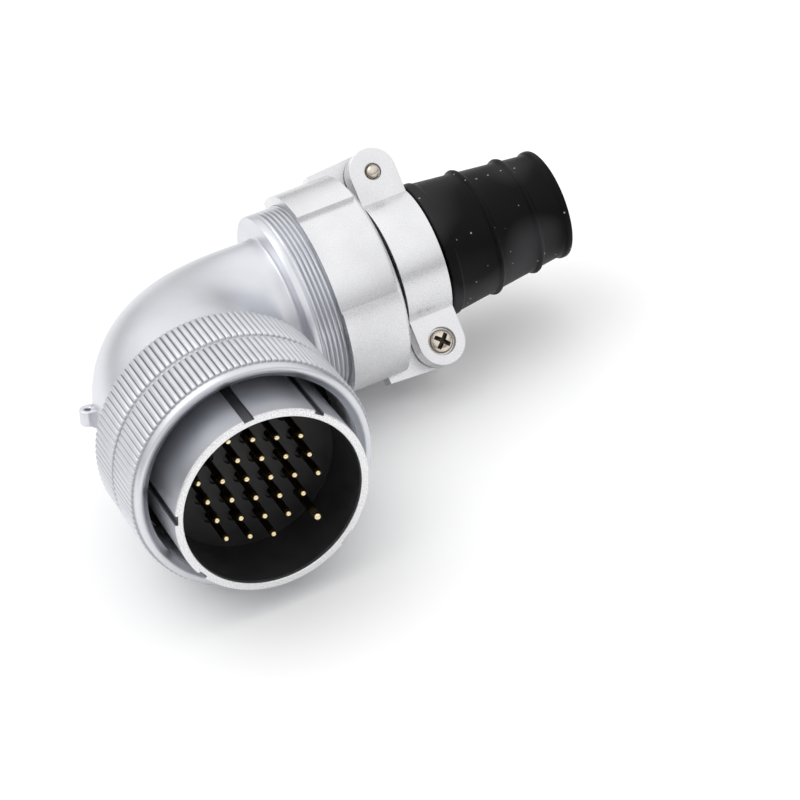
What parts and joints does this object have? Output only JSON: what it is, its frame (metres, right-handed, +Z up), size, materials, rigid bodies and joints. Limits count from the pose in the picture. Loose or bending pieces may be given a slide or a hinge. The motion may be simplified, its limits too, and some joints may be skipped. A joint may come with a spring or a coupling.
{
  "type": "right-angle circular cable plug",
  "caption": "Right-angle circular cable plug with a knurled coupling ring, gold pins in a black insert, a cast elbow, a screw-on clamp sleeve and a rubber cable boot.",
  "frame": {"origin": "centre of the barrel's mouth, in the plane of its lip", "axes": "-Y is the mating direction, +X the way the cable leaves, +Z up as it lies on a table"},
  "size_m": [0.124, 0.0882, 0.0536],
  "materials": {
    "plated_zinc": "satin",
    "bright_zinc": "satin",
    "steel": "satin",
    "nickel_screw": "gloss",
    "gold_contact": "gloss",
    "insert_plastic": "matte",
    "rubber": "satin"
  },
  "bodies": {
    "housing": {"plug_shell": "plated_zinc", "face_gasket": "rubber", "insulator_front": "insert_plastic", "insulator_rear": "insert_plastic", "signal_pins": "gold_contact", "earth_pin": "gold_contact", "insert_retainer": "steel", "elbow_gasket": "rubber", "elbow_housing": "plated_zinc", "ring_retainer": "steel", "thrust_washer": "steel"},
    "coupling": {"coupling_ring": "plated_zinc"},
    "gland": {"gland_washer": "steel"},
    "sleeve": {"clamp_sleeve": "bright_zinc", "cable_boot": "rubber"},
    "front_saddle": {"saddle_front": "bright_zinc"},
    "rear_saddle": {"saddle_rear": "bright_zinc"},
    "front_screw": {"clamp_screw_front": "nickel_screw"},
    "rear_screw": {"clamp_screw_rear": "nickel_screw"}
  },
  "joints": [
    {"name": "ring_turn", "type": "hinge", "parent": "housing", "child": "coupling", "pos_m": [0, 0.0215, 0], "axis": [0, 1, 0], "continuous": true},
    {"name": "gland_slide", "type": "slide", "parent": "housing", "child": "gland", "axis": [1, 0, 0], "range_m": [0, 0.00841]},
    {"name": "sleeve_turn", "type": "hinge", "parent": "gland", "child": "sleeve", "pos_m": [0.045, 0.065, 0], "axis": [1, 0, 0], "range_deg": [0, 2880]},
    {"name": "saddle_front_slide", "type": "slide", "parent": "sleeve", "child": "front_saddle", "axis": [0, -0.8059, 0.592], "range_m": [0, 0.002]},
    {"name": "saddle_rear_slide", "type": "slide", "parent": "sleeve", "child": "rear_saddle", "axis": [0, 0.8059, -0.592], "range_m": [0, 0.00201]},
    {"name": "screw_front_turn", "type": "hinge", "parent": "front_saddle", "child": "front_screw", "pos_m": [0.0588, 0.04724, -0.01252], "axis": [0, -0.8059, 0.592], "range_deg": [0, 2880.5]},
    {"name": "screw_rear_turn", "type": "hinge", "parent": "rear_saddle", "child": "rear_screw", "pos_m": [0.0588, 0.08276, 0.01252], "axis": [0, 0.8059, -0.592], "range_deg": [0, 2880.5]}
  ],
  "couplings": [
    {"joint": "gland_slide", "follows": "sleeve_turn", "m_per_rad": 0.00016711},
    {"joint": "saddle_rear_slide", "follows": "saddle_front_slide", "ratio": 1},
    {"joint": "screw_front_turn", "follows": "saddle_front_slide", "rad_per_m": 25133},
    {"joint": "screw_rear_turn", "follows": "saddle_front_slide", "rad_per_m": 25133}
  ]
}
